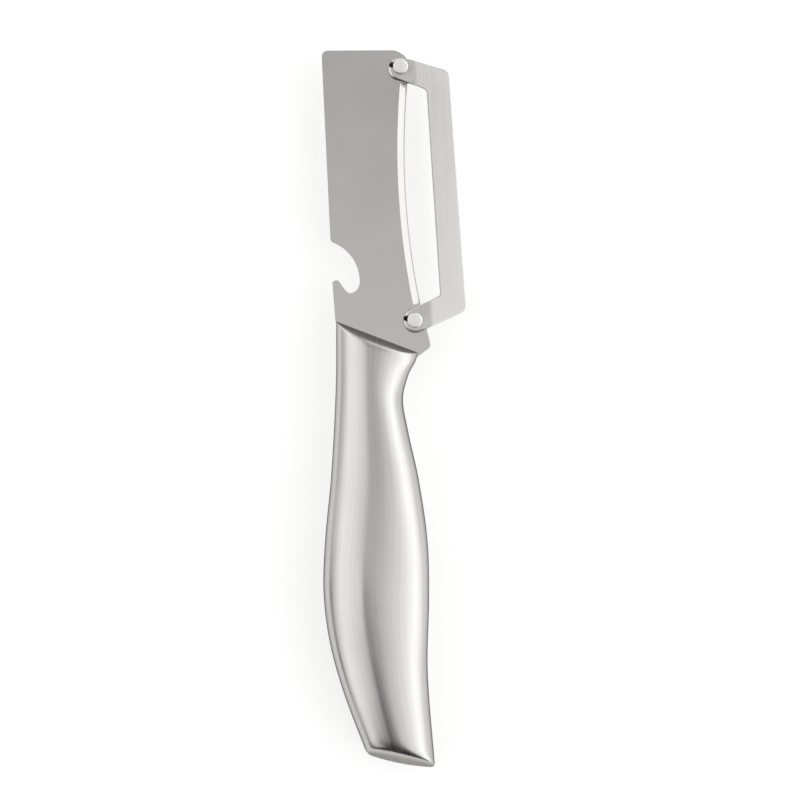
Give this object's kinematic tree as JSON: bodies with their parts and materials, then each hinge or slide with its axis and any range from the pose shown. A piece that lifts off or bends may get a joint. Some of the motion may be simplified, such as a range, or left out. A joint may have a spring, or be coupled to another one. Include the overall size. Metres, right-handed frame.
{
  "type": "vegetable peeler",
  "caption": "All-steel peeling knife: flat cleaver blade with an opener notch in its spine, a slide-off peel guard beside its hollowed edge, and a hollow pressed handle.",
  "frame": {"origin": "middle of the footprint, on the surface that the peeler lies on with its guard side up", "axes": "+X from the blade's spine towards the peel guard, +Y from the handle's butt to the blade's tip, +Z out of the front face"},
  "size_m": [0.0456, 0.211, 0.0173],
  "materials": {
    "blade_steel": "satin, fine grind",
    "guard_steel": "satin",
    "rivet_steel": "bright",
    "handle_steel": "brushed and polished"
  },
  "bodies": {
    "knife": {"blade_plate": "blade_steel", "upper_rivet": "rivet_steel", "lower_rivet": "rivet_steel", "front_handle_shell": "handle_steel", "rear_handle_shell": "handle_steel"},
    "guard": {"peel_guard": "guard_steel"}
  },
  "joints": [
    {"name": "guard_slide", "type": "slide", "parent": "knife", "child": "guard", "axis": [0.9659, -0.2588, 0], "range_m": [0, 0.015]}
  ]
}
